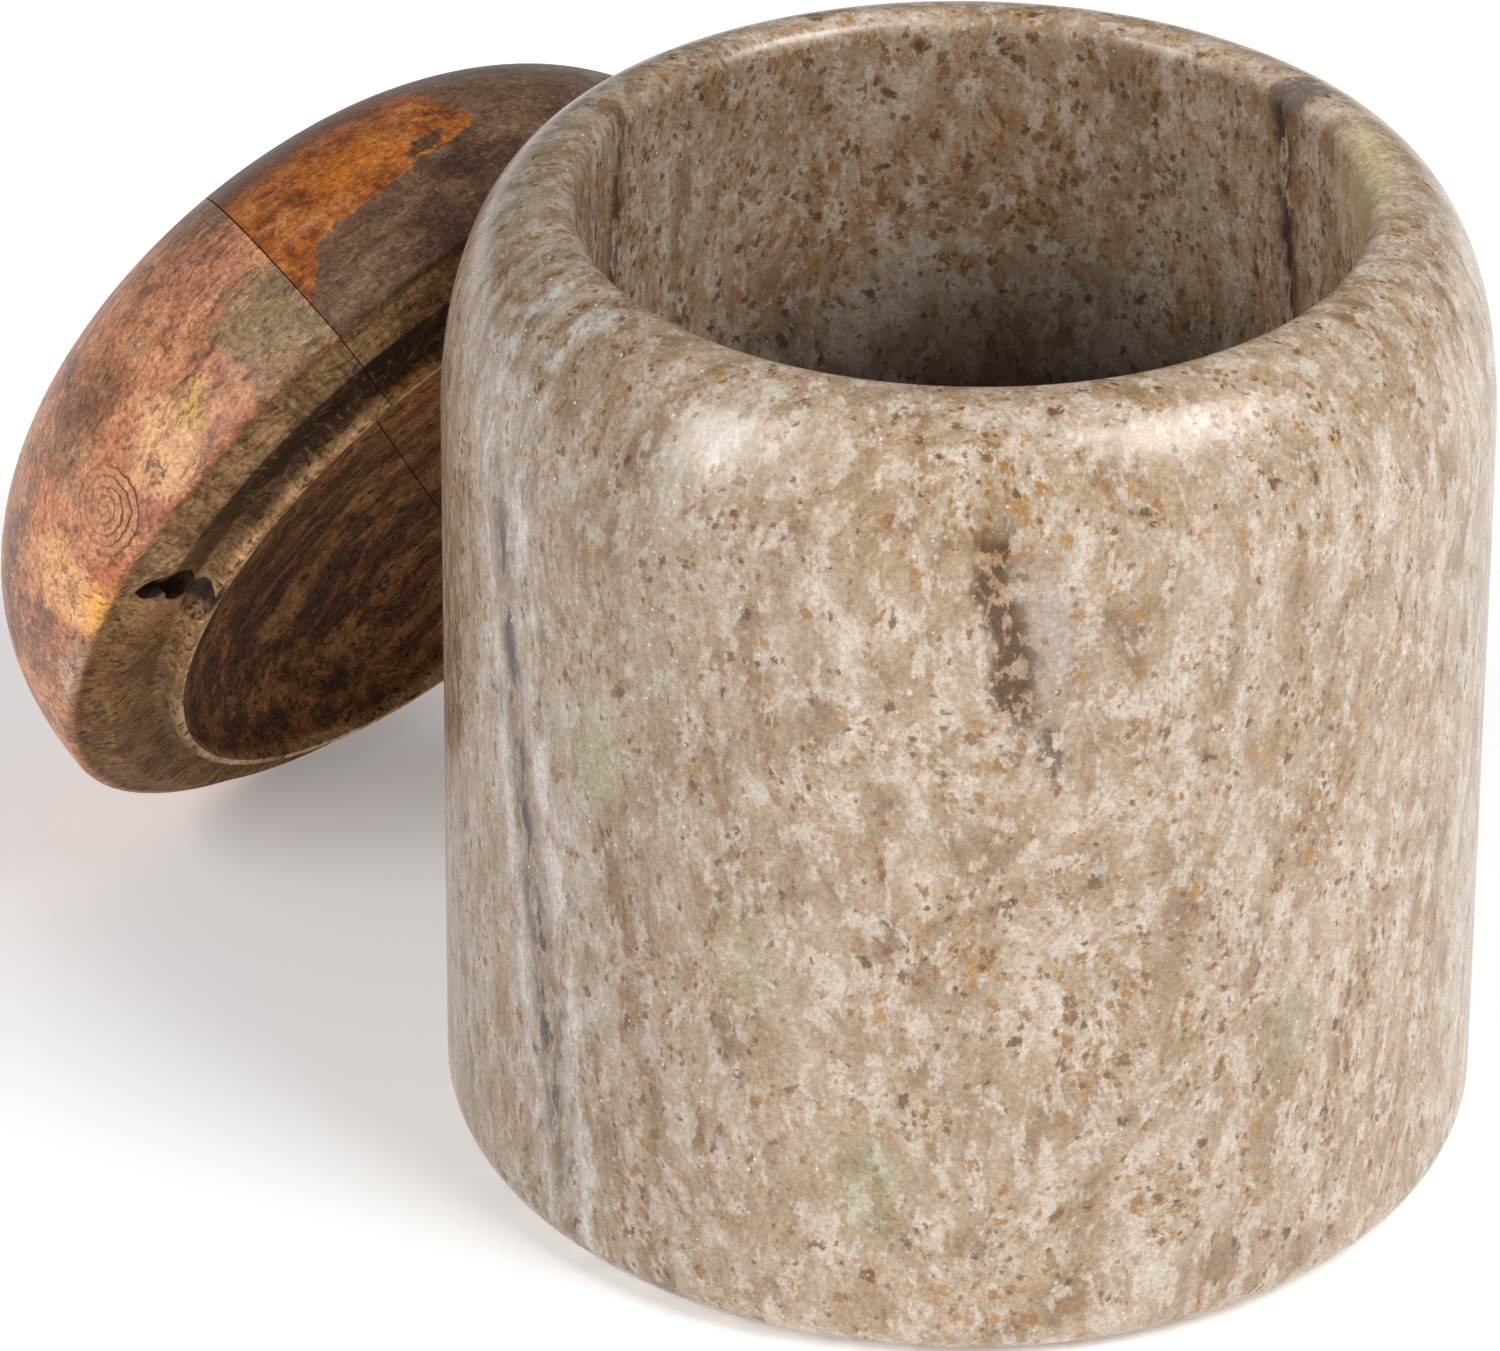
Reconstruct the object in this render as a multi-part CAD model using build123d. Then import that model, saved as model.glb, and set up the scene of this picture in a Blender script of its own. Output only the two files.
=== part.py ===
from build123d import *
import math
import os

# A lidded canister: a pot turned from one piece of marble, and a wooden lid turned from a
# blank of two boards glued edge to edge. The lid is off and leans against the pot.
# Millimetres, +Z up, origin at the centre of the pot's bottom face.

# Pot
pot_radius = 50.0           # where the side meets the shoulder
pot_height = 98.5
foot_flare = 0.5            # the side widens this much on its way down
foot_round = 4.8            # rounding between the bottom face and the side
shoulder_drop = 23.6        # height over which the side rounds in to the lip
shoulder_fullness = 0.60    # 0.55 is an elliptical shoulder, more is squarer
mouth_radius = 37.0
lip_round = 2.2             # rounding from the lip's crest into the bore
floor_thickness = 12.0
cavity_round = 8.0          # rounding between the bore and the cavity's floor

# Lid, in its closed position: the seat lies on the lip at z = 0 and the plug points down
plug_clearance = 0.55       # between the plug and the bore, all round
plug_depth = 2.65
plug_lip = 1.0              # width of the plug's end face
plug_edge_round = 0.4
seat_cove = 0.9             # hollow corner between the plug and the seat
seat_width = 5.35           # from the plug to the outer edge of the seat
bevel_out = 2.9
bevel_rise = 2.2
brow_out = 1.35             # overhang of the dome over the bevel
brow_rise = 0.9
dome_rise = 31.75           # from the widest place to the top
dome_fullness = 0.663
hollow_depth = 15.0         # scooped hollow inside the plug, from its end face
joint_bearing = -36.0       # direction of the glued joint about the lid's axis

# Natural hole where a small knot has fallen out, beside the plug
knot_hole_bearing = -79.0
knot_hole_radius = 2.3
knot_hole_inset = 2.6       # from the plug's wall to the middle of the hole

# How the lid leans: its axis tips towards lean_bearing, and its rim stands on the table
lean_bearing = 134.9
lean_tilt = 63.1
lean_sideways = 3.9         # sideways step from the line that squarely faces the pot
lean_gap = 0.3              # between the lid and the pot's side


def turned(outline):
    """A solid of revolution about Z from edges drawn as (radius, height)."""
    return revolve(Plane.XZ * make_face(outline), Axis.Z)


def make_pot():
    shoulder_height = pot_height - shoulder_drop
    crest_radius = mouth_radius + lip_round
    shoulder_out = pot_radius - crest_radius
    cavity_floor_radius = mouth_radius - cavity_round
    foot_radius = pot_radius + foot_flare
    outline = [
        Line((0, 0), (foot_radius - foot_round, 0)),
        JernArc((foot_radius - foot_round, 0), (1, 0), foot_round, 90),
        Line((foot_radius, foot_round), (pot_radius, shoulder_height)),
        Bezier(
            (pot_radius, shoulder_height),
            (pot_radius, shoulder_height + shoulder_fullness * shoulder_drop),
            (crest_radius + shoulder_fullness * shoulder_out, pot_height),
            (crest_radius, pot_height),
        ),
        JernArc((crest_radius, pot_height), (-1, 0), lip_round, 90),
        Line((mouth_radius, pot_height - lip_round), (mouth_radius, floor_thickness + cavity_round)),
        JernArc((mouth_radius, floor_thickness + cavity_round), (0, -1), cavity_round, -90),
        Line((cavity_floor_radius, floor_thickness), (0, floor_thickness)),
        Line((0, floor_thickness), (0, 0)),
    ]
    return turned(outline)


def make_closed_lid():
    plug_radius = mouth_radius - plug_clearance
    plug_end = -plug_depth
    hollow_radius = plug_radius - plug_lip
    seat_radius = plug_radius + seat_width
    bevel_radius = seat_radius + bevel_out
    dome_radius = bevel_radius + brow_out
    widest = bevel_rise + brow_rise
    dome_top = widest + dome_rise
    hollow_top = plug_end + hollow_depth
    outline = [
        EllipticalCenterArc((0, plug_end), hollow_radius, hollow_depth, 0, arc_size=90),
        Line((hollow_radius, plug_end), (plug_radius - plug_edge_round, plug_end)),
        JernArc((plug_radius - plug_edge_round, plug_end), (1, 0), plug_edge_round, 90),
        Line((plug_radius, plug_end + plug_edge_round), (plug_radius, -seat_cove)),
        JernArc((plug_radius, -seat_cove), (0, 1), seat_cove, -90),
        Line((plug_radius + seat_cove, 0), (seat_radius, 0)),
        Line((seat_radius, 0), (bevel_radius, bevel_rise)),
        EllipticalCenterArc((bevel_radius, widest), brow_out, brow_rise, -90, arc_size=90),
        Bezier(
            (dome_radius, widest),
            (dome_radius, widest + dome_fullness * dome_rise),
            (dome_fullness * dome_radius, dome_top),
            (0, dome_top),
        ),
        Line((0, dome_top), (0, hollow_top)),
    ]
    return turned(outline)


def knot_hole():
    """The empty knot, a round pocket that opens in the seat and in the plug's foot."""
    bearing = math.radians(knot_hole_bearing)
    distance = mouth_radius - plug_clearance + knot_hole_inset
    return Pos(distance * math.cos(bearing), distance * math.sin(bearing), 0) * Sphere(knot_hole_radius)


def leaning_frame():
    """The tilt of the leaning lid: local Z is the lid's axis, local X points up its face."""
    bearing = math.radians(lean_bearing)
    tilt = math.radians(lean_tilt)
    outward = Vector(math.cos(bearing), math.sin(bearing), 0)
    axis = outward * math.sin(tilt) + Vector(0, 0, math.cos(tilt))
    up_the_face = Vector(0, 0, math.sin(tilt)) - outward * math.cos(tilt)
    return outward, Plane(origin=(0, 0, 0), x_dir=up_the_face, z_dir=axis)


def lean_location(pot, lid):
    """Stand the tilted lid on the table and slide it in until it all but touches the pot."""
    outward, tilted = leaning_frame()
    sideways = outward.rotate(Axis.Z, 90)
    leaning = tilted.location * lid
    place = sideways * lean_sideways
    place += outward * (pot_radius + 2 * lid.bounding_box().max.X)
    place += Vector(0, 0, -leaning.bounding_box().min.Z)
    gap = pot.distance_to(Pos(place) * leaning)
    while gap - lean_gap > 0.002:
        place -= outward * (gap - lean_gap)
        gap = pot.distance_to(Pos(place) * leaning)
    return Pos(place) * tilted.location


pot = make_pot()
closed_lid = make_closed_lid()
lean = lean_location(pot, closed_lid)
joint_plane = Plane.XZ.rotated((0, 0, joint_bearing))
lid = closed_lid - knot_hole()
parts = {
    "marble_pot": pot,
    "lid_board_knotty": lean * split(lid, bisect_by=joint_plane, keep=Keep.TOP),
    "lid_board_dark": lean * split(lid, bisect_by=joint_plane, keep=Keep.BOTTOM),
}

os.makedirs("parts", exist_ok=True)
for name, part in parts.items():
    export_step(part, f"parts/{name}.step")
    print(name, round(part.volume, 1), part.bounding_box())
print("lid stands at", lean.position, "turned", lean.orientation)
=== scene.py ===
import bmesh
import bpy
import math
from mathutils import Matrix, Vector, noise


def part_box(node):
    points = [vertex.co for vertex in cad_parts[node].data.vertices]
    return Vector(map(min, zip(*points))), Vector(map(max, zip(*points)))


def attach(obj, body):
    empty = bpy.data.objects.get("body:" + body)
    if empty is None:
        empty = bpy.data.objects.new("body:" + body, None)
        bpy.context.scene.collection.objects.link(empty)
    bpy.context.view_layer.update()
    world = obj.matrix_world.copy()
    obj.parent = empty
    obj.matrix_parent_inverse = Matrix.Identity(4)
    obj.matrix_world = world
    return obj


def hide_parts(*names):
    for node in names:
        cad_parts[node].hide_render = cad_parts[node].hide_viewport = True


# A marble canister and its wooden lid. The frame holds one pot and the two boards of the lid.
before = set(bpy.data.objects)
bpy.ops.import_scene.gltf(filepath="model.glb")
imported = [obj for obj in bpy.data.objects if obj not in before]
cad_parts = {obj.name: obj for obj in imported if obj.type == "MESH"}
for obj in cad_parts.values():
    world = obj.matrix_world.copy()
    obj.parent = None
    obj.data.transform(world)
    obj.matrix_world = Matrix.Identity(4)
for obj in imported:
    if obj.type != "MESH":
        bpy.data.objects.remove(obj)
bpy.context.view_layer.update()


# ---- The pot -----------------------------------------------------------------------------
# A thick-walled canister turned on a lathe from one block of beige marble, bored out from the
# top. The outside and the lip are honed and waxed to a soft shine; the bore is left duller.
mm = 0.001
pot_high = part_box("marble_pot")[1]
foot_radius = pot_high.x
pot_height = pot_high.z
side_taper = 0.5 * mm
foot_round = 4.8 * mm
shoulder_drop = 23.6 * mm
shoulder_fullness = 0.60
mouth_radius = 37.0 * mm
lip_round = 2.2 * mm
floor_thickness = 12.0 * mm
cavity_round = 8.0 * mm
tool_wobble = 0.09 * mm
wobble_length = 17 * mm
turning_steps = 256
crease = math.radians(38)
weld = 0.001 * mm


def arc(centre, across, up, start, end, steps):
    """Points of an ellipse's arc as (radius, height), from one angle in degrees to another."""
    angles = [math.radians(start + (end - start) * i / steps) for i in range(steps + 1)]
    return [(centre[0] + across * math.cos(a), centre[1] + up * math.sin(a)) for a in angles]


def bow(corners, steps):
    """Points of a cubic curve as (radius, height) from its four corners."""
    points = []
    for i in range(steps + 1):
        t = i / steps
        weights = ((1 - t) ** 3, 3 * t * (1 - t) ** 2, 3 * t * t * (1 - t), t ** 3)
        points.append(tuple(sum(w * c[k] for w, c in zip(weights, corners)) for k in (0, 1)))
    return points


def run(start, end, steps):
    """Evenly spaced points of a straight stretch, both ends left out."""
    return [tuple(s + (e - s) * i / steps for s, e in zip(start, end)) for i in range(1, steps)]


def turn(outline, steps, sweep=math.tau, bearing=0.0):
    """Spins an outline of (radius, height) points about Z. It starts and ends on the axis."""
    shape = bmesh.new()
    across = Vector((math.cos(bearing), math.sin(bearing), 0))
    rim = [shape.verts.new(across * radius + Vector((0, 0, height))) for radius, height in outline]
    path = [shape.edges.new(pair) for pair in zip(rim, rim[1:])]
    whole = sweep == math.tau
    bmesh.ops.spin(shape, geom=rim + path, cent=(0, 0, 0), axis=(0, 0, 1),
                   angle=sweep, steps=steps, use_merge=whole)
    bmesh.ops.remove_doubles(shape, verts=shape.verts, dist=weld)
    bmesh.ops.recalc_face_normals(shape, faces=shape.faces)
    return shape


def soften(shape, depth, grain):
    """Lets the surface waver inwards by up to a small depth, as hand finishing leaves it."""
    shape.normal_update()
    for vert in shape.verts:
        share = 0.5 + 0.5 * noise.noise(vert.co / grain)
        vert.co -= vert.normal * depth * min(max(share, 0.0), 1.0)


def finish_mesh(shape, name, material):
    """Turns a bmesh into an object with smooth faces that break only at its sharp edges."""
    mesh = bpy.data.meshes.new(name)
    shape.to_mesh(mesh)
    shape.free()
    mesh.shade_smooth()
    mesh.set_sharp_from_angle(angle=crease)
    mesh.materials.append(material)
    piece = bpy.data.objects.new(name, mesh)
    bpy.context.scene.collection.objects.link(piece)
    return piece


def paint(red, green, blue):
    """A colour given as 0-255 display values."""
    shares = [value / 255 for value in (red, green, blue)]
    return (*[s / 12.92 if s <= 0.04045 else ((s + 0.055) / 1.055) ** 2.4 for s in shares], 1.0)


class Finish:
    """A material made node by node. Each method adds one step and hands back its output."""

    def __init__(self, name):
        self.material = bpy.data.materials.new(name)
        self.material.use_nodes = True
        self.tree = self.material.node_tree
        self.shader = self.tree.nodes["Principled BSDF"]

    def add(self, kind, inputs, output=0, **settings):
        step = self.tree.nodes.new("ShaderNode" + kind)
        for setting, value in settings.items():
            setattr(step, setting, value)
        for socket, value in inputs.items():
            self.feed(step.inputs[socket], value)
        return step.outputs[output]

    def feed(self, socket, value):
        if isinstance(value, bpy.types.NodeSocket):
            self.tree.links.new(value, socket)
        else:
            socket.default_value = value

    def shine(self, **values):
        for name, value in values.items():
            self.feed(self.shader.inputs[name.replace("_", " ")], value)

    def sum(self, first, second):
        return self.add("Math", {0: first, 1: second}, operation="ADD")

    def times(self, first, second):
        return self.add("Math", {0: first, 1: second}, operation="MULTIPLY")

    def maths(self, operation, first, second=0.0):
        return self.add("Math", {0: first, 1: second}, operation=operation)

    def vector(self, operation, first, second):
        return self.add("VectorMath", {0: first, 1: second}, operation=operation)

    def less(self, first, second):
        return self.maths("SUBTRACT", first, second)

    def split(self, at):
        """The X, Y and Z of a place."""
        return list(self.add("SeparateXYZ", {0: at}).node.outputs)

    def dot(self, first, second):
        return self.add("VectorMath", {0: first, 1: second}, "Value", operation="DOT_PRODUCT")

    def length(self, value):
        return self.add("VectorMath", {0: value}, "Value", operation="LENGTH")

    def across(self, at):
        """How far a place is from the Z axis."""
        return self.length(self.vector("MULTIPLY", at, (1.0, 1.0, 0.0)))

    def rise(self, value, low, high):
        """0 at low, 1 at high and smooth between. High may be the smaller of the two."""
        inputs = {"Value": value, "From Min": low, "From Max": high}
        return self.add("MapRange", inputs, interpolation_type="SMOOTHSTEP")

    def cloud(self, at, scale, detail=3.0, rough=0.55, twist=0.0, output=0):
        inputs = {"Vector": at, "Scale": scale, "Detail": detail}
        inputs.update({"Roughness": rough, "Distortion": twist})
        return self.add("TexNoise", inputs, output)

    def bend(self, at, scale, detail, rough, push):
        """The same place, pushed about by a cloud."""
        cloud = self.cloud(at, scale, detail, rough, output="Color")
        centred = self.vector("SUBTRACT", cloud, (0.5, 0.5, 0.5))
        return self.vector("ADD", at, self.vector("MULTIPLY", centred, push))

    def grains(self, at, scale, output="Distance", **settings):
        return self.add("TexVoronoi", {"Vector": at, "Scale": scale}, output, **settings)

    def mix(self, share, below, above, how="MIX"):
        """Lays one colour over another."""
        return self.add("Mix", {0: share, 6: below, 7: above}, 2, data_type="RGBA", blend_type=how)

    def coat(self, below, mask, strength, above, how="MIX"):
        """Lays a colour over another where a mask says, at a given strength."""
        return self.mix(self.times(mask, strength), below, above, how)

    def ramp(self, value, *stops):
        """A colour read off stops of (place, colour)."""
        step = self.tree.nodes.new("ShaderNodeValToRGB")
        self.feed(step.inputs[0], value)
        marks = step.color_ramp.elements
        while len(marks) < len(stops):
            marks.new(0.5)
        for mark, (place, colour) in zip(marks, stops):
            mark.position = place
            mark.color = colour
        return step.outputs[0]

    def stretch(self, at, scale, turn=(0, 0, 0), shift=(0, 0, 0)):
        inputs = {"Vector": at, "Scale": scale, "Rotation": turn, "Location": shift}
        return self.add("Mapping", inputs)

    def spot(self, at, centre, size, edge=0.35, fray=0.0):
        """1 inside an egg-shaped spot and 0 outside, with a soft edge that a cloud may fray."""
        away = self.length(self.vector("DIVIDE", self.vector("SUBTRACT", at, centre), size))
        if fray:
            away = self.sum(away, self.times(self.less(self.cloud(at, 0.9, 4), 0.5), fray))
        return self.rise(away, 1 + edge, 1 - edge)

    def flecks(self, at, scale, share, size):
        """Ragged grains in a share of the cells, of a radius in cells, and a lot drawn for each."""
        ragged = self.bend(at, 1.8 * scale, 4, 0.7, (1.6 / scale,) * 3)
        first_lot, second_lot = self.split(self.grains(ragged, scale, "Color"))[:2]
        chosen = self.rise(self.sum(first_lot, share), 0.97, 1.03)
        near = self.rise(self.grains(ragged, scale), size, 0.55 * size)
        return self.times(chosen, near), second_lot


def marble():
    """Beige marble with upright bedding, rusty grains, smoky veins and pale green patches."""
    stone = Finish("beige_marble")
    place = stone.add("TexCoord", {}, "Object")
    at = stone.stretch(place, (1 / mm, 1 / mm, 1 / mm))
    bent = stone.bend(at, 0.06, 2, 0.55, (6, 3, 8))
    x, y, z = stone.split(at)
    reach = stone.across(at)
    bore_side = mouth_radius / mm
    bore_floor = floor_thickness / mm
    bore = stone.times(stone.rise(reach, bore_side + 0.6, bore_side - 0.1),
                       stone.rise(z, bore_floor - 3.0, bore_floor - 0.2))

    # Beds stand nearly upright across the block, so they show as streaks on its flanks.
    across_beds = (-0.075, 1.0, -0.13)
    bent_x, bent_z = stone.split(bent)[::2]
    beds = stone.add("CombineXYZ", {0: stone.times(bent_x, 0.10),
                                    1: stone.times(stone.dot(bent, across_beds), 0.50),
                                    2: stone.times(bent_z, 0.05)})
    layer = stone.cloud(beds, 1.0, 4, 0.6)
    blotch = stone.cloud(stone.stretch(bent, (1, 1, 0.6)), 0.26, 6, 0.62)
    tone = stone.sum(stone.times(layer, 0.5), stone.times(blotch, 0.5))
    ground = stone.ramp(tone, (0.40, paint(139, 115, 92)), (0.46, paint(161, 139, 115)),
                        (0.51, paint(173, 154, 133)), (0.56, paint(184, 168, 151)),
                        (0.63, paint(199, 187, 175)))
    blush = stone.rise(stone.cloud(at, 0.10, 4, 0.6), 0.45, 0.60)
    ground = stone.coat(ground, blush, 0.25, paint(180, 152, 122))
    milk = stone.rise(stone.cloud(stone.stretch(bent, (1, 1, 0.55)), 0.5, 5, 0.65), 0.51, 0.59)
    ground = stone.coat(ground, milk, 0.6, paint(205, 195, 184))

    # Rust follows some of the beds and gathers in a few places: a tan stain and ochre grains.
    rusty = stone.rise(stone.cloud(stone.stretch(beds, (1.1, 0.8, 1.3)), 1.0, 4, 0.65), 0.42, 0.60)
    rust = stone.sum(rusty, stone.times(bore, 0.55))
    rustiest = (
        ((11.2, -49.0, 34.7), (4.0, 7.0, 6.0)),
        ((37.6, -33.6, 23.0), (3.0, 4.0, 14.0)),
        ((-31.7, -39.0, 36.4), (1.6, 4.0, 10.0)),
        ((-30.4, -40.3, 10.3), (2.0, 4.0, 8.0)),
        ((21.6, -45.5, 15.7), (5.0, 6.0, 6.0)),
        ((-0.1, -50.2, 51.6), (3.0, 6.0, 7.0)),
        ((31.7, -38.8, 57.6), (2.4, 5.0, 8.0)),
        ((-2.0, -46.9, 92.0), (3.5, 5.0, 5.0)),
    )
    for centre, size in rustiest:
        rust = stone.sum(rust, stone.times(stone.spot(at, centre, size, 0.6, 1.6), 0.7))
    stain = stone.rise(stone.cloud(stone.stretch(bent, (1, 1, 0.7)), 0.8, 6, 0.72), 0.50, 0.60)
    stain_strength = stone.sum(0.12, stone.times(rust, 0.45))
    ground = stone.coat(ground, stain, stain_strength, paint(152, 110, 62))
    flat = stone.stretch(bent, (0.85, 1.2, 0.75))
    coarse = (0.40, 0.02, 0.14, 0.34, 0.70)
    middling = (0.66, 0.05, 0.32, 0.44, 0.82)
    small = (1.40, 0.05, 0.24, 0.50, 0.80)
    for scale, share_in_clean, more_in_rust, size, strength in (coarse, middling, small):
        share = stone.sum(share_in_clean, stone.times(rust, more_in_rust))
        fleck, lot = stone.flecks(flat, scale, share, size)
        ochre = stone.ramp(lot, (0.0, paint(170, 126, 64)), (0.55, paint(134, 90, 42)),
                           (1.0, paint(84, 52, 16)))
        ground = stone.mix(stone.times(fleck, strength), ground, ochre)

    brown_grain = stone.times(stone.flecks(flat, 0.85, 0.20, 0.46)[0], bore)
    ground = stone.coat(ground, brown_grain, 0.85, paint(82, 54, 20))

    # A few pin-sized black grains.
    pin = stone.flecks(at, 0.45, 0.05, 0.13)[0]
    ground = stone.coat(ground, pin, 0.85, paint(52, 44, 40))

    # A smoky vein follows a bed down the left flank, between paler beds, and another the bore.
    wobble = stone.less(stone.cloud(at, 0.16, 4, 0.6), 0.5)
    bed = stone.sum(stone.dot(at, across_beds), stone.times(wobble, 2.6))
    smoke_cloud = stone.cloud(stone.stretch(at, (1, 1, 0.3)), 0.45, 5, 0.68)

    def vein(middle, width, where, low, high):
        """A sheet along the bedding, kept to a part of the pot and broken up by the cloud."""
        off = stone.maths("ABSOLUTE", stone.less(bed, middle))
        sheet = stone.times(stone.rise(off, width, 0.1 * width), where)
        return stone.times(sheet, stone.rise(smoke_cloud, low, high))

    flank = stone.rise(x, -22, -36)
    # Painted shade: a near-grey multiply darkens the left flank and greys it a little.
    greyer = stone.rise(x, -10, -40)
    ground = stone.coat(ground, greyer, 0.7, paint(198, 195, 194), "MULTIPLY")
    for middle, width in ((-28.6, 1.5), (-34.2, 2.4)):
        pale_bed = vein(middle, width, flank, 0.42, 0.60)
        ground = stone.coat(ground, pale_bed, 0.6, paint(204, 202, 200))
    left_vein = -31.2
    its_height = stone.times(stone.rise(z, 84.0, 74.0), stone.rise(z, 4.0, 22.0))
    its_stretch = stone.times(flank, its_height)
    haze = vein(left_vein, 3.6, its_stretch, 0.40, 0.56)
    ground = stone.coat(ground, haze, 0.6, paint(118, 102, 90))
    core = vein(left_vein, 1.7, its_stretch, 0.50, 0.57)
    ground = stone.coat(ground, core, 0.9, paint(46, 36, 30))
    bore_vein = 6.8
    in_bore = stone.times(stone.rise(reach, bore_side + 2.5, bore_side), stone.rise(z, 22.0, 40.0))
    bore_haze = vein(bore_vein, 3.0, in_bore, 0.36, 0.52)
    ground = stone.coat(ground, bore_haze, 0.6, paint(108, 78, 48))
    bore_core = vein(bore_vein, 1.5, in_bore, 0.42, 0.52)
    ground = stone.coat(ground, bore_core, 0.9, paint(58, 34, 16))

    # A brown vein grazes the front: it drops straight, then leans right, and crumbles as it goes.
    lean_starts = 83.0
    below_it = stone.maths("MAXIMUM", stone.less(lean_starts, z), 0.0)
    middle = stone.sum(1.3, stone.times(below_it, 0.20))
    beside = stone.maths("ABSOLUTE", stone.less(stone.sum(x, stone.times(wobble, 4.0)), middle))
    length = stone.times(stone.rise(z, 67.0, 72.0), stone.rise(z, 91.0, 87.0))
    front = stone.times(length, stone.rise(y, -30.0, -44.0))
    grey_side = stone.spot(at, (5.4, -49.0, 79.0), (3.2, 7.0, 6.5), 0.7, 1.0)
    ground = stone.coat(ground, grey_side, 0.55, paint(146, 132, 124))
    crumbs = stone.rise(stone.cloud(stone.stretch(at, (1, 1, 0.7)), 0.8, 5, 0.7), 0.43, 0.52)
    halo = stone.times(stone.rise(beside, 2.8, 0.4), front)
    ground = stone.coat(ground, halo, 0.55, paint(146, 100, 50))
    brown = stone.times(stone.times(stone.rise(beside, 2.8, 0.9), front), crumbs)
    ground = stone.coat(ground, brown, 0.9, paint(74, 46, 12))
    foot_of_it = stone.times(stone.spot(at, (6.6, -49.0, 67.0), (1.3, 7.0, 3.2), 0.6, 1.6), crumbs)
    ground = stone.coat(ground, foot_of_it, 0.8, paint(74, 46, 24))

    # Pale green patches, a grey crystal in the lip and a creamy stretch beside it.
    green_patches = (
        ((-20.6, -45.8, 42.4), 3.6),
        ((-9.3, -49.5, 19.5), 4.2),
        ((29.8, -40.5, 31.5), 3.4),
        ((-34.4, -36.4, 58.2), 3.4),
        ((22.0, 32.0, 60.0), 4.5),
        ((-12.0, 46.0, 30.0), 4.0),
    )
    for centre, size in green_patches:
        patch = stone.spot(at, centre, (size * 0.7, size, size * 1.3), 0.7, 2.6)
        ground = stone.coat(ground, patch, 0.4, paint(160, 160, 126))
    crystal = stone.spot(at, (31.5, 21.5, 98.0), (3.2, 1.8, 1.6), 0.4, 1.6)
    ground = stone.coat(ground, crystal, 0.75, paint(112, 104, 100))
    cream = stone.spot(at, (37.6, 6.0, 95.0), (3.0, 11.0, 6.0), 0.6, 1.0)
    ground = stone.coat(ground, cream, 0.45, paint(212, 200, 150))

    # Fine crystal grain, and bright facets.
    fine = stone.cloud(at, 2.0, 3, 0.7)
    grit = stone.ramp(fine, (0.30, paint(148, 147, 145)), (0.70, paint(217, 215, 212)))
    ground = stone.mix(0.7, ground, grit, "OVERLAY")
    facet = stone.rise(stone.grains(at, 0.85), 0.16, 0.08)
    facets = stone.times(facet, stone.rise(stone.grains(at, 0.85, "Color"), 0.74, 0.78))
    ground = stone.coat(ground, facets, 0.6, paint(240, 232, 220))

    # The bore is not waxed: it is duller, and its wall carries painted shade, least on the left.
    bore_painted_shade = stone.times(bore, stone.less(0.45, stone.times(stone.rise(x, -18.0, -34.0), 0.45)))
    ground = stone.mix(bore_painted_shade, ground, paint(196, 180, 164), "MULTIPLY")
    # Painted shade: the bore's wall darkens strongly half way down, less towards the left.
    half_way_down = stone.times(stone.rise(z, 80.0, 54.0), stone.rise(z, 24.0, 50.0))
    depth = stone.times(stone.times(bore, half_way_down), stone.rise(x, -44.0, -20.0))
    ground = stone.coat(ground, depth, 0.94, paint(40, 22, 8), "MULTIPLY")
    gloss = stone.sum(stone.times(bore, 0.42), stone.sum(0.19, stone.times(fine, 0.12)))
    stone.shine(Base_Color=ground, Roughness=stone.less(gloss, stone.times(facets, 0.1)))
    relief = stone.less(stone.sum(fine, stone.times(facets, 0.5)), stone.times(pin, 2.0))
    stone.shine(Normal=stone.add("Bump", {"Strength": 0.18, "Distance": 0.05 * mm, "Height": relief}))
    stone.shine(Subsurface_Weight=0.10, Subsurface_Scale=1.2 * mm)
    stone.shine(Subsurface_Radius=(1.0, 0.8, 0.6), IOR=1.54)
    return stone.material


shoulder_height = pot_height - shoulder_drop
crest_radius = mouth_radius + lip_round
pot_radius = foot_radius - side_taper
shoulder_out = pot_radius - crest_radius
floor_radius = mouth_radius - cavity_round
bore_top = pot_height - lip_round
bore_foot = floor_thickness + cavity_round
pot_outline = [(0, 0)]
pot_outline += run((0, 0), (foot_radius - foot_round, 0), 6)
pot_outline += arc((foot_radius - foot_round, foot_round), foot_round, foot_round, -90, 0, 10)
pot_outline += run((foot_radius, foot_round), (pot_radius, shoulder_height), 22)
pot_outline += bow([(pot_radius, shoulder_height),
                    (pot_radius, shoulder_height + shoulder_fullness * shoulder_drop),
                    (crest_radius + shoulder_fullness * shoulder_out, pot_height),
                    (crest_radius, pot_height)], 28)
pot_outline += arc((crest_radius, bore_top), lip_round, lip_round, 90, 180, 10)[1:]
pot_outline += run((mouth_radius, bore_top), (mouth_radius, bore_foot), 20)
pot_outline += arc((floor_radius, bore_foot), cavity_round, cavity_round, 0, -90, 12)
pot_outline += run((floor_radius, floor_thickness), (0, floor_thickness), 6)
pot_outline += [(0, floor_thickness)]
pot_shape = turn(pot_outline, turning_steps)
soften(pot_shape, tool_wobble, wobble_length)
pot = finish_mesh(pot_shape, "canister_pot", marble())
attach(pot, "pot")
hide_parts("marble_pot")


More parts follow.
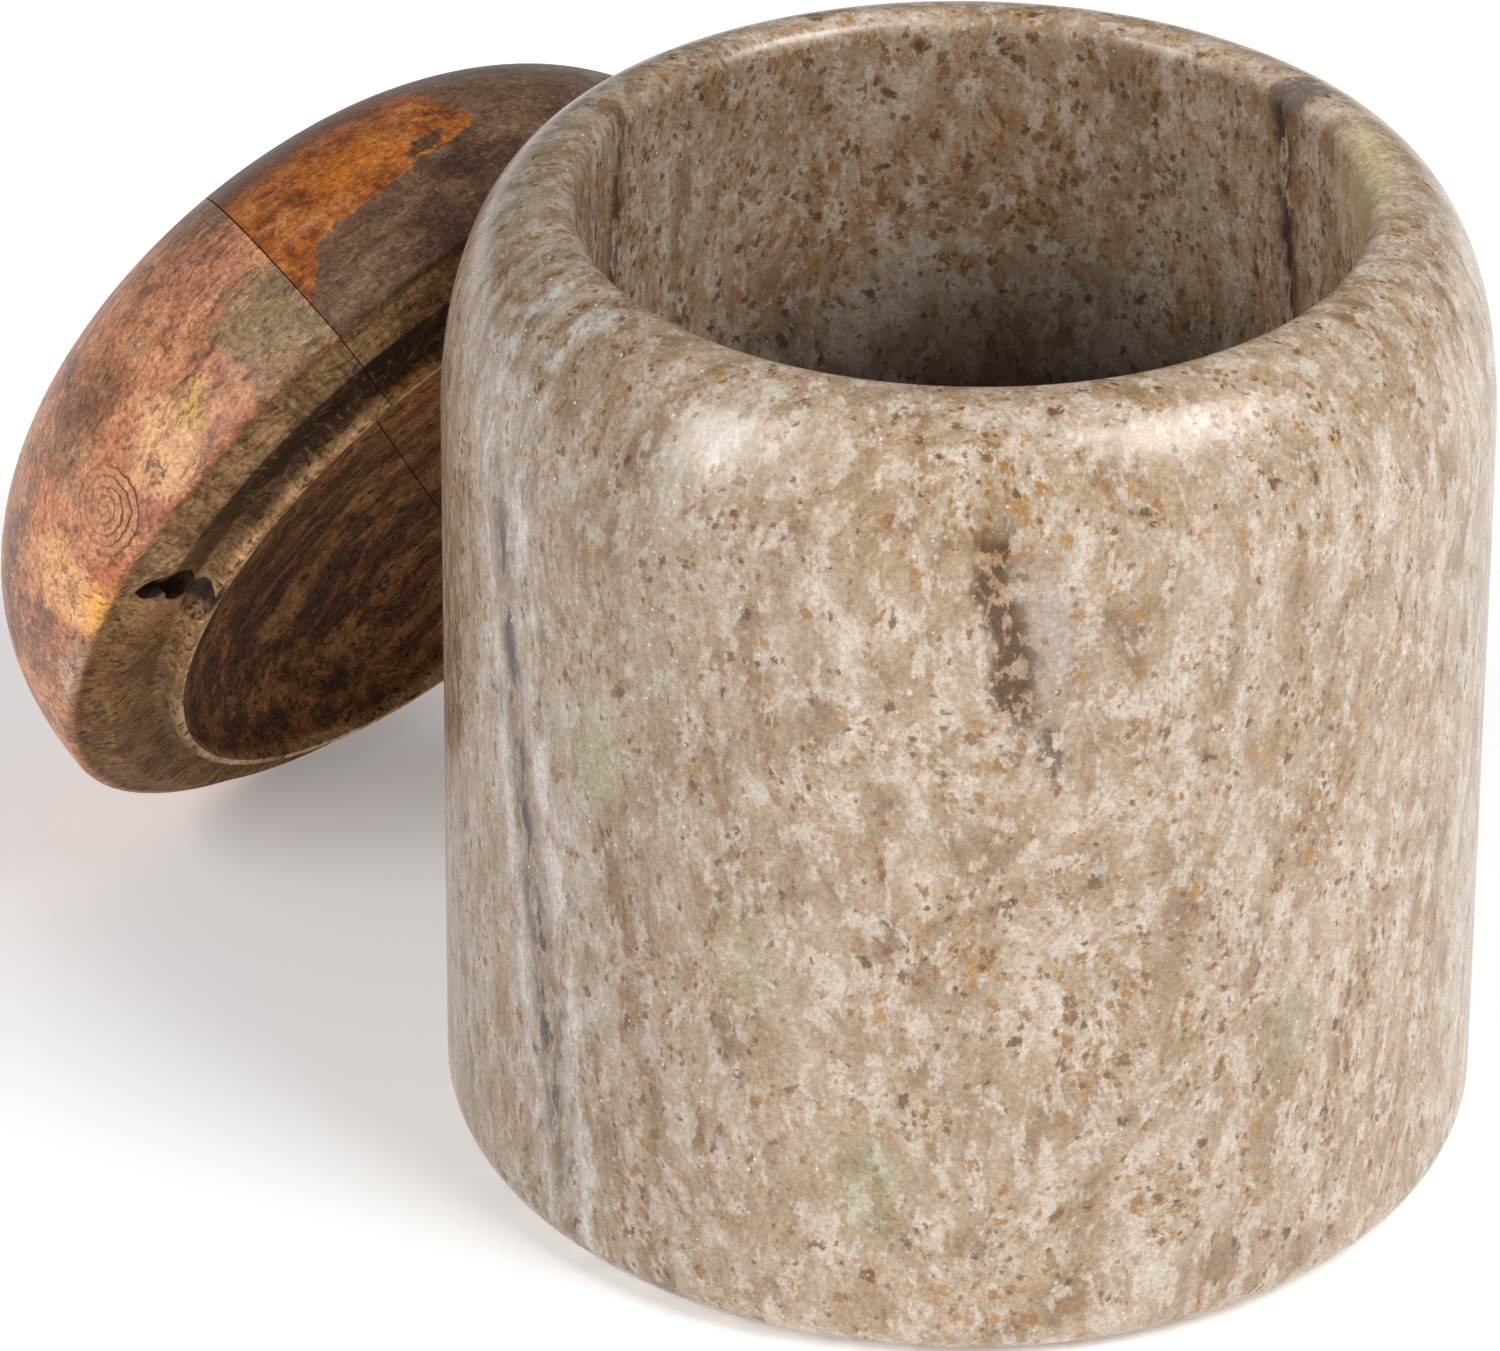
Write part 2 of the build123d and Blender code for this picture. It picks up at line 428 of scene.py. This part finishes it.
# ---- The lid's knotty board --------------------------------------------------------------
# The lid is turned from a blank of two boards glued end to end, then waxed on its dome. This
# board is pinkish tan with a round knot, and an empty knot hole that opens beside the plug.
plug_clearance = 0.55 * mm
plug_depth = 2.65 * mm
plug_lip = 1.0 * mm
plug_edge_round = 0.4 * mm
seat_cove = 0.9 * mm
seat_width = 5.35 * mm
bevel_out = 2.9 * mm
bevel_rise = 2.2 * mm
brow_out = 1.35 * mm
brow_rise = 0.9 * mm
dome_rise = 31.75 * mm
dome_fullness = 0.663
hollow_depth = 15.0 * mm
joint_bearing = math.radians(-36.0)
joint_groove = 0.05 * mm
sanding_wobble = 0.10 * mm
sanding_length = 13 * mm

# The lid leans against the pot: its axis tips towards a bearing, and its rim is on the table.
lean_bearing = math.radians(134.9)
lean_tilt = math.radians(63.1)
lean_out = Vector((math.cos(lean_bearing), math.sin(lean_bearing), 0))
dome_way = lean_out * math.sin(lean_tilt) + Vector((0, 0, math.cos(lean_tilt)))
up_the_face = Vector((0, 0, math.sin(lean_tilt))) - lean_out * math.cos(lean_tilt)
lean_turn = Matrix((up_the_face, dome_way.cross(up_the_face), dome_way)).transposed()

plug_radius = mouth_radius - plug_clearance
hollow_radius = plug_radius - plug_lip
seat_radius = plug_radius + seat_width
bevel_radius = seat_radius + bevel_out
dome_radius = bevel_radius + brow_out
widest = bevel_rise + brow_rise
dome_top = widest + dome_rise
lid_outline = arc((0, -plug_depth), hollow_radius, hollow_depth, 90, 0, 26)
lid_outline += arc((plug_radius - plug_edge_round, plug_edge_round - plug_depth),
                   plug_edge_round, plug_edge_round, -90, 0, 5)
lid_outline += [(plug_radius, -seat_cove - 0.5 * mm)]
lid_outline += arc((plug_radius + seat_cove, -seat_cove), seat_cove, seat_cove, 180, 90, 6)
lid_outline += run((plug_radius + seat_cove, 0), (seat_radius, 0), 5)
lid_outline += [(seat_radius, 0)]
lid_outline += run((seat_radius, 0), (bevel_radius, bevel_rise), 4)
lid_outline += arc((bevel_radius, widest), brow_out, brow_rise, -90, 0, 7)
lid_outline += bow([(dome_radius, widest), (dome_radius, widest + dome_fullness * dome_rise),
                    (dome_fullness * dome_radius, dome_top), (0, dome_top)], 52)[1:]


def lid_place():
    """Where the leaning lid's seat centre is, so that its box is the frame's box of both boards."""
    boxes = [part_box("lid_board_knotty"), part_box("lid_board_dark")]
    low = Vector([min(box[0][k] for box in boxes) for k in range(3)])
    high = Vector([max(box[1][k] for box in boxes) for k in range(3)])
    whole = turn(lid_outline, turning_steps)
    turned = [lean_turn @ vert.co for vert in whole.verts]
    whole.free()
    own_low = Vector([min(point[k] for point in turned) for k in range(3)])
    own_high = Vector([max(point[k] for point in turned) for k in range(3)])
    return (low + high - own_low - own_high) / 2


lid_centre = lid_place()


def board(sweep):
    """Half of the lid on one side of the glued joint, with its joint face closed and eased."""
    shape = turn(lid_outline, turning_steps // 2, sweep, joint_bearing)
    open_edges = [edge for edge in shape.edges if edge.is_boundary]
    bmesh.ops.contextual_create(shape, geom=open_edges)
    bmesh.ops.bevel(shape, geom=open_edges, offset=joint_groove, affect="EDGES",
                    segments=1, profile=0.5, material=-1)
    bmesh.ops.recalc_face_normals(shape, faces=shape.faces)
    soften(shape, sanding_wobble, sanding_length)
    return shape


def lean(shape):
    """Takes a shape from the lid's own frame to where the leaning lid stands."""
    stand = Matrix.Translation(lid_centre) @ lean_turn.to_4x4()
    bmesh.ops.transform(shape, matrix=stand, verts=shape.verts)
    return shape


def gouge(piece, centre, size, bearing, fray):
    """Cuts a ragged hole out of a finished board: lid millimetres, and a turn in degrees."""
    middle = Vector(centre) * mm
    big_lumps = 1.7
    small_lumps = 6.0
    lump = bmesh.new()
    bmesh.ops.create_icosphere(lump, subdivisions=5, radius=1.0)
    for vert in lump.verts:
        vert.co *= 1 + fray * noise.noise(vert.co * big_lumps + middle / mm)
        vert.co += vert.normal * 0.35 * fray * noise.noise(vert.co * small_lumps)
    bmesh.ops.scale(lump, vec=[length * mm for length in size], verts=lump.verts)
    spin = Matrix.Rotation(math.radians(bearing), 3, "Z")
    bmesh.ops.rotate(lump, matrix=spin, verts=lump.verts)
    bmesh.ops.translate(lump, vec=middle, verts=lump.verts)
    cutter = finish_mesh(lean(lump), "cutter", piece.data.materials[0])
    cut = piece.modifiers.new("gouge", "BOOLEAN")
    cut.operation = "DIFFERENCE"
    cut.solver = "EXACT"
    cut.object = cutter
    graph = bpy.context.evaluated_depsgraph_get()
    mesh = bpy.data.meshes.new_from_object(piece.evaluated_get(graph))
    piece.modifiers.clear()
    piece.data = mesh
    bpy.data.objects.remove(cutter)
    mesh.shade_smooth()
    mesh.set_sharp_from_angle(angle=crease)


def wood_places(wood):
    """The lid's own millimetres: X up the leaning face, Z out through the dome."""
    back = lean_turn.transposed()
    shift = -(back @ lid_centre) / mm
    place = wood.add("TexCoord", {}, "Object")
    return wood.stretch(place, (1 / mm, 1 / mm, 1 / mm), back.to_euler("XYZ"), shift)


def along_grain(wood, at, bend):
    """The same place with X along the fibres, which run squarely across the glued joint."""
    bent = wood.bend(at, 0.055, 3, 0.55, (bend,) * 3)
    return wood.stretch(bent, (1, 1, 1), (0, 0, -math.pi / 2 - joint_bearing))


def fibres(wood, grain, ground, light, dark, strength):
    """Lays growth streaks, dark pores and pale scratches over a board's ground colour."""
    streak = wood.cloud(wood.stretch(grain, (0.09, 0.6, 0.6)), 1.0, 6, 0.68)
    ground = wood.mix(wood.times(wood.rise(streak, 0.50, 0.34), strength), ground, dark)
    ground = wood.mix(wood.times(wood.rise(streak, 0.53, 0.68), strength), ground, light)
    line = wood.rise(wood.cloud(wood.stretch(grain, (0.12, 1.5, 1.5)), 1.0, 3, 0.6, 0.6), 0.58, 0.65)
    ground = wood.coat(ground, line, 0.5, dark)
    pores = wood.flecks(wood.stretch(grain, (0.42, 1.5, 1.5)), 1.0, 0.34, 0.42)[0]
    ground = wood.coat(ground, pores, 0.6, dark)
    scratch = wood.rise(wood.cloud(wood.stretch(grain, (0.30, 3.0, 3.0)), 1.0, 2, 0.5), 0.60, 0.70)
    ground = wood.coat(ground, scratch, 0.5, light)
    return ground, pores


def speckle(wood, at, ground):
    """Fine tooth of sanded wood: darker and lighter points a third of a millimetre across."""
    fine = wood.cloud(at, 1.7, 4, 0.78)
    rub = wood.ramp(fine, (0.33, paint(118, 116, 112)), (0.67, paint(238, 236, 232)))
    return wood.mix(0.8, ground, rub, "OVERLAY"), fine


def underside(wood, at, grain, seat, wall, hollow):
    """Raw turned wood below the brow: bevel, seat, plug and hollow, each its own tone, with painted
    shade on seat, wall and hollow and a painted highlight on the plug's edge.
    """
    x, y, z = wood.split(at)
    reach = wood.across(at)
    seat_edge = seat_radius / mm
    plug_side = plug_radius / mm
    cove_edge = plug_side + seat_cove / mm
    hollow_edge = hollow_radius / mm
    # Painted shade: the seat darkens higher up the face, where the pot crowds it.
    high = wood.rise(x, 2.0, 20.0)
    painted_seat_shade = wood.mix(wood.times(high, 0.88), seat, paint(36, 18, 5))
    on_bevel = wood.rise(reach, seat_edge - 0.4, seat_edge + 0.2)
    bevel = wood.mix(wood.rise(x, -4.0, 12.0), seat, paint(156, 122, 84))
    ground = wood.mix(on_bevel, painted_seat_shade, bevel)
    # Painted shade: the plug's wall is dimmer low down the face.
    wall_in_painted_shade = wood.mix(0.6, wall, paint(112, 80, 46))
    wall = wood.mix(wood.rise(x, 8.0, -12.0), wall, wall_in_painted_shade)
    # Painted shade: the plug's wall darkens into the corner under the seat.
    painted_wall_shade = wood.times(wood.rise(z, -2.3, -0.3), wood.sum(0.35, wood.times(high, 0.6)))
    wall = wood.mix(painted_wall_shade, wall, paint(54, 31, 13))
    ground = wood.mix(wood.rise(reach, cove_edge + 0.55, cove_edge - 0.35), ground, wall)
    # Painted highlight: a thin pale line along the plug's rounded end edge.
    plug_edge_highlight = wood.rise(reach, plug_side - 0.15, plug_side - 0.55)
    ground = wood.mix(plug_edge_highlight, ground, paint(214, 180, 138))

    # The hollow gets painted shade low down and is banded there, and keeps a lighter tone near its
    # top.
    in_hollow = wood.rise(reach, hollow_edge + 0.05, hollow_edge - 0.25)
    hollow_in_painted_shade = wood.mix(0.6, hollow, paint(60, 36, 18))
    scooped = wood.mix(wood.rise(x, 8.0, -24.0), hollow, hollow_in_painted_shade)
    bands = wood.cloud(wood.stretch(grain, (0.05, 0.34, 0.34)), 1.0, 5, 0.65)
    dark_bands = wood.times(wood.rise(bands, 0.54, 0.42), wood.rise(x, 4.0, -12.0))
    scooped = wood.coat(scooped, dark_bands, 0.55, paint(54, 34, 14))
    light_bands = wood.rise(bands, 0.46, 0.62)
    scooped = wood.coat(scooped, light_bands, 0.4, paint(206, 146, 88))
    ground = wood.mix(in_hollow, ground, scooped)
    mottle = wood.rise(wood.cloud(at, 0.22, 5, 0.68), 0.44, 0.60)
    browner = wood.mix(1.0, ground, paint(168, 134, 100), "MULTIPLY")
    ground = wood.coat(ground, mottle, 0.6, browner)
    pale = wood.mix(0.5, ground, paint(200, 156, 108))
    ground, pores = fibres(wood, grain, ground, pale, paint(52, 28, 12), 0.4)

    # The cutter tore short lines outwards across the seat and up the plug.
    bearing = wood.maths("ARCTAN2", y, x)
    tear = wood.add("CombineXYZ", {0: wood.times(bearing, 52.0),
                                   1: wood.times(reach, 0.25),
                                   2: wood.times(z, 0.3)})
    torn = wood.cloud(tear, 1.0, 5, 0.7)
    outside = wood.times(wood.less(1.0, in_hollow), wood.rise(x, -22.0, 12.0))
    dark_tears = wood.times(wood.rise(torn, 0.50, 0.36), outside)
    ground = wood.coat(ground, dark_tears, 0.5, paint(52, 30, 14))
    pale_tears = wood.times(wood.rise(torn, 0.55, 0.68), outside)
    lit = wood.mix(0.5, ground, paint(200, 160, 108))
    ground = wood.coat(ground, pale_tears, 0.6, lit)
    pits = wood.flecks(wood.stretch(grain, (0.6, 1.2, 1.2)), 1.0, 0.42, 0.44)[0]
    smoother = wood.times(on_bevel, wood.rise(x, -4.0, 10.0))
    pits = wood.times(pits, wood.less(1.0, wood.times(smoother, 0.6)))
    ground = wood.coat(ground, pits, 0.8, paint(38, 20, 8))

    # Wax covers the dome down to the brow.
    wax_edge = bevel_rise / mm
    outer = wood.length(wood.vector("DIVIDE", at, (46.0, 46.0, 34.8)))
    waxed = wood.times(wood.rise(z, wax_edge, wax_edge + 0.25), wood.rise(outer, 0.80, 0.86))
    return ground, wood.maths("MAXIMUM", pores, pits), waxed


def finish_wood(wood, at, below, raw_pores, dome, pores, wax):
    """Joins dome and underside, and adds the glue line, the sheen of the wax and the open grain."""
    ground = wood.mix(wax, below, dome)
    ground, fine = speckle(wood, at, ground)
    joint_way = (-math.sin(joint_bearing), math.cos(joint_bearing), 0.0)
    from_joint = wood.maths("ABSOLUTE", wood.dot(at, joint_way))
    glue_line = wood.rise(from_joint, 0.13, 0.05)
    ground = wood.coat(ground, glue_line, 0.6, paint(60, 42, 28))
    dull = wood.less(0.62, wood.times(wax, 0.26))
    wood.shine(Base_Color=ground, Roughness=wood.sum(dull, wood.times(fine, 0.12)))
    open_grain = wood.add("Mix", {0: wax, 2: raw_pores, 3: pores})
    relief = wood.less(wood.times(fine, 0.6), open_grain)
    wood.shine(Normal=wood.add("Bump", {"Strength": 0.6, "Distance": 0.10 * mm, "Height": relief}))
    wood.shine(IOR=1.38)


def knotty_wood():
    """Pinkish tan wood with a ringed knot, orange and yellow stains and a greyer end."""
    wood = Finish("knotty_wood")
    at = wood_places(wood)
    grain = along_grain(wood, at, 9.0)
    loose = wood.bend(at, 0.25, 6, 0.70, (10.0,) * 3)

    tone = wood.cloud(at, 0.13, 6, 0.68)
    dome = wood.ramp(tone, (0.34, paint(96, 60, 42)), (0.44, paint(156, 102, 72)),
                     (0.54, paint(194, 132, 96)), (0.66, paint(164, 126, 98)))
    weather = wood.rise(wood.cloud(loose, 0.20, 6, 0.7), 0.53, 0.64)
    dome = wood.coat(dome, weather, 0.7, paint(92, 64, 52))
    stains = (
        ("greyer end by the joint", (33.0, -28.5, 8.0), (7.5, 5.0, 7.0), paint(118, 102, 76), 0.88),
        ("rosy end above it", (30.0, -29.5, 19.0), (6.0, 5.0, 5.5), paint(160, 106, 86), 0.7),
        ("cream", (21.8, -40.2, 8.0), (4.2, 3.6, 4.8), paint(214, 166, 120), 0.85),
        ("yellow fleck", (26.6, -37.2, 7.4), (2.0, 2.0, 1.4), paint(196, 158, 84), 0.8),
        ("orange beside the knot", (5.5, -43.5, 15.3), (4.2, 4.0, 2.8), paint(188, 116, 80), 0.7),
        ("orange above the knot", (17.6, -41.0, 12.0), (3.8, 3.0, 3.0), paint(190, 122, 86), 0.7),
        ("red under the knot", (8.9, -45.1, 3.8), (3.2, 4.0, 2.4), paint(172, 92, 56), 0.8),
        ("yellow streaks", (2.4, -45.6, 8.6), (4.2, 4.0, 5.2), paint(222, 164, 112), 0.85),
        ("bright yellow", (4.0, -45.2, 2.8), (3.0, 3.0, 2.1), paint(232, 164, 78), 0.9),
        ("plum mottle", (-8.1, -44.8, 9.2), (5.0, 4.5, 4.5), paint(126, 84, 70), 0.65),
        ("grey streak", (-8.0, -45.1, 3.0), (5.0, 3.5, 1.3), paint(168, 144, 128), 0.7),
        ("brown shade over the knot", (14.6, -39.5, 17.5), (8.0, 5.5, 3.4), paint(112, 76, 58), 0.65),
        ("grey edge up the dome", (30.0, -22.0, 25.5), (7.0, 6.0, 4.0), paint(92, 72, 58), 0.75),
        ("plum back", (-20.0, -36.0, 20.0), (9.0, 9.0, 8.0), paint(116, 78, 62), 0.6),
        ("red specks", (16.8, -41.8, 3.2), (2.6, 2.4, 1.5), paint(160, 78, 54), 0.7),
        ("dark mark by the cream", (20.2, -41.1, 7.0), (0.7, 1.0, 1.1), paint(84, 48, 40), 0.8),
    )
    for name, centre, size, colour, strength in stains:
        mask = wood.spot(loose, centre, size, 0.45)
        mask.node.label = name
        dome = wood.mix(wood.times(mask, strength), dome, colour)
    pale = wood.mix(0.6, dome, paint(226, 176, 136))
    dome, pores = fibres(wood, grain, dome, pale, paint(86, 54, 38), 0.5)

    # The knot's rings wind outwards from its eye, darkest below it towards the rim.
    eye = (13.0, -43.8, 8.4)
    ring_gap = 1.02
    off = wood.vector("SUBTRACT", wood.bend(at, 0.6, 4, 0.6, (1.2,) * 3), eye)
    beside = wood.dot(off, (0.96, 0.28, 0.0))
    above = wood.dot(off, (0.0, 0.0, 1.0))
    angle = wood.maths("ARCTAN2", above, beside)
    away = wood.length(off)
    knot = wood.rise(away, 4.7, 4.2)
    dome = wood.coat(dome, knot, 0.6, paint(190, 130, 94))
    turns = wood.sum(wood.times(away, math.tau / ring_gap), angle)
    ring = wood.rise(wood.maths("SINE", turns), 0.4, 0.95)
    shade = wood.rise(wood.dot(off, (0.55, 0.16, -0.8)), -1.0, 3.0)
    shown = wood.times(wood.rise(away, 5.2, 4.4), wood.sum(0.45, wood.times(shade, 0.55)))
    ring = wood.times(ring, shown)
    dome = wood.coat(dome, ring, 0.95, paint(94, 52, 34))

    seat = paint(128, 91, 44)
    wall = paint(208, 164, 114)
    hollow = paint(170, 114, 62)
    below, raw_pores, wax = underside(wood, at, grain, seat, wall, hollow)
    reach = wood.across(at)
    inside_plug = wood.rise(reach, 35.4, 34.8)
    blush = wood.times(wood.spot(loose, (-4.0, -29.0, 4.0), (16.0, 7.0, 8.0), 0.6), inside_plug)
    below = wood.coat(below, blush, 0.45, paint(196, 136, 98))

    # The knot hole gets painted shade on its cut faces only, above the seat's level or inside the
    # plug's side, and the wood below it gets painted light.
    painted_light_below_hole = wood.spot(loose, (4.6, -40.0, 0.0), (2.6, 2.8, 2.0), 0.5)
    below = wood.coat(below, painted_light_below_hole, 0.5, paint(184, 132, 98))
    near_hole = wood.spot(at, (7.0, -39.2, 0.0), (4.6, 5.0, 5.0), 0.1)
    bevel_slope = 0.76
    past_seat = wood.maths("MAXIMUM", wood.less(reach, seat_radius / mm), 0.0)
    seat_level = wood.times(past_seat, bevel_slope)
    above_seat = wood.rise(wood.less(wood.split(at)[2], seat_level), 0.08, 0.35)
    cut_in = wood.maths("MAXIMUM", above_seat, wood.rise(reach, 36.42, 36.30))
    # Painted shade: the hole's cut faces are made nearly black.
    hole = wood.times(near_hole, wood.times(cut_in, wood.rise(reach, 35.45, 35.6)))
    below = wood.coat(below, hole, 0.92, paint(34, 18, 8))
    finish_wood(wood, at, below, raw_pores, dome, pores, wax)
    return wood.material


knotty = finish_mesh(lean(board(-math.pi)), "lid_knotty_board", knotty_wood())

# Three gouges run together as the empty knot hole, and the last one is a small crack.
gouge(knotty, centre=(8.3, -41.1, 1.2), size=(2.6, 1.2, 3.0), bearing=46, fray=0.12)
gouge(knotty, centre=(7.4, -38.6, 0.4), size=(2.9, 1.9, 3.2), bearing=150, fray=0.12)
gouge(knotty, centre=(4.9, -36.3, -1.0), size=(2.9, 1.0, 1.9), bearing=8, fray=0.12)
gouge(knotty, centre=(2.6, -45.6, 1.4), size=(0.6, 2.2, 0.7), bearing=-8, fray=0.5)
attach(knotty, "lid")
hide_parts("lid_board_knotty")


# ---- The lid's dark board ----------------------------------------------------------------
# The other board of the blank, of the same timber: grey-brown heartwood with fine pale
# streaks, and an orange patch that ends sharply against the grain. It is waxed on the dome.


def dark_wood():
    """Grey-brown heartwood with an orange patch beside the joint and a dark leaf in its tip."""
    wood = Finish("dark_wood")
    at = wood_places(wood)
    grain = along_grain(wood, at, 5.0)
    loose = wood.bend(at, 0.35, 5, 0.65, (3.0,) * 3)
    y, z = wood.split(loose)[1:]

    tone = wood.cloud(at, 0.08, 6, 0.66)
    dome = wood.ramp(tone, (0.34, paint(62, 41, 28)), (0.46, paint(90, 63, 46)),
                     (0.56, paint(110, 82, 62)), (0.70, paint(84, 54, 36)))

    # The patch lies between a sharp lower edge and a blurred reddish upper one.
    steep = wood.sum(wood.times(y, 1.25), 40.2)
    shallow = wood.sum(wood.times(y, 0.11), 14.2)
    lower_edge = wood.maths("MINIMUM", steep, shallow)
    patch = wood.rise(wood.less(z, lower_edge), -0.15, 0.3)
    patch = wood.times(patch, wood.rise(y, -0.6, -2.6))
    red_rim = wood.times(patch, wood.rise(z, 29.0, 25.5))
    patch = wood.times(patch, wood.rise(z, 25.8, 22.0))
    dome = wood.coat(dome, red_rim, 0.8, paint(104, 58, 36))
    flame = wood.cloud(loose, 0.26, 6, 0.72)
    orange = wood.ramp(flame, (0.34, paint(88, 42, 14)), (0.46, paint(136, 72, 24)),
                       (0.56, paint(164, 96, 38)), (0.68, paint(176, 126, 72)))
    dome = wood.coat(dome, patch, 0.96, orange)
    glow = wood.spot(loose, (40.3, -13.5, 17.0), (4.4, 5.6, 3.0), 0.6)
    dome = wood.coat(dome, glow, 0.6, paint(182, 104, 30))
    from_leaf = wood.vector("SUBTRACT", loose, (43.3, -7.8, 14.7))
    leaf = wood.stretch(from_leaf, (1, 1, 1), (math.radians(-12), 0, 0))
    inclusion = wood.rise(wood.length(wood.vector("DIVIDE", leaf, (4.0, 3.3, 0.75))), 1.15, 0.8)
    dome = wood.coat(dome, inclusion, 0.85, paint(76, 54, 38))
    pale = wood.mix(0.5, dome, paint(168, 142, 118))
    deep = wood.mix(0.6, dome, paint(40, 24, 16))
    dome, pores = fibres(wood, grain, dome, pale, deep, 0.6)

    seat = paint(84, 52, 26)
    wall = paint(164, 118, 66)
    hollow = paint(166, 106, 44)
    below, raw_pores, wax = underside(wood, at, grain, seat, wall, hollow)
    finish_wood(wood, at, below, raw_pores, dome, pores, wax)
    return wood.material


dark = finish_mesh(lean(board(math.pi)), "lid_dark_board", dark_wood())
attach(dark, "lid")
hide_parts("lid_board_dark")


# ---- The table ---------------------------------------------------------------------------
# A plain white board under the object, far larger than what is seen of it. It isn't part of
# the object.
table_shape = bmesh.new()
table_reach = 6.0
bmesh.ops.create_grid(table_shape, x_segments=1, y_segments=1, size=table_reach)
white = Finish("white_board")
white.shine(Base_Color=paint(250, 249, 248), Roughness=0.9, Emission_Color=paint(250, 250, 250))
white.shine(Emission_Strength=0.25)
table = finish_mesh(table_shape, "table", white.material)


# ---- The light ---------------------------------------------------------------------------
# Two large soft boxes stand left and right of the camera, above the object, and leave one
# soft square highlight each on the pot's shoulder. A pale room fills the shadows.


def soft_box(name, aim, way, away, width, height, power):
    """An oblong lamp seen from a point in a given direction, turned to face it."""
    lamp = bpy.data.lights.new(name, "AREA")
    lamp.shape = "RECTANGLE"
    lamp.size = width
    lamp.size_y = height
    lamp.energy = power
    stand = bpy.data.objects.new(name, lamp)
    stand.location = aim + way.normalized() * away
    stand.rotation_euler = way.to_track_quat("Z", "Y").to_euler()
    bpy.context.scene.collection.objects.link(stand)


shoulder_aim = Vector((0, -0.8 * foot_radius, pot_height))
soft_box("left_soft_box", shoulder_aim, Vector((-0.770, -0.450, 0.450)),
         away=2.0, width=0.66, height=1.50, power=25.0)
soft_box("right_soft_box", shoulder_aim, Vector((0.620, -0.360, 0.700)),
         away=2.0, width=1.10, height=1.15, power=38.0)
room = bpy.data.worlds.new("room")
room.use_nodes = True
room.node_tree.nodes["Background"].inputs["Color"].default_value = paint(250, 250, 252)
room.node_tree.nodes["Background"].inputs["Strength"].default_value = 0.20
bpy.context.scene.world = room
bpy.context.scene.view_settings.view_transform = "Standard"


# ---- The camera --------------------------------------------------------------------------
# A long lens looks down at the object from straight in front of it. It is level to within a
# tenth of a degree or so, and everything is in focus.
look_at = Vector((-20.6, 0.0, 45.9)) * mm
look_down = math.radians(30.366)
camera_away = 0.798
camera_roll = math.radians(0.11)
lens = bpy.data.cameras.new("camera")
lens.lens = 198.33
lens.sensor_width = 36.0
camera = bpy.data.objects.new("camera", lens)
camera.location = look_at + camera_away * Vector((0, -math.cos(look_down), math.sin(look_down)))
camera.rotation_mode = "QUATERNION"
upright = Matrix.Rotation(math.pi / 2 - look_down, 3, "X")
camera.rotation_quaternion = (upright @ Matrix.Rotation(camera_roll, 3, "Z")).to_quaternion()
bpy.context.scene.collection.objects.link(camera)
bpy.context.scene.camera = camera
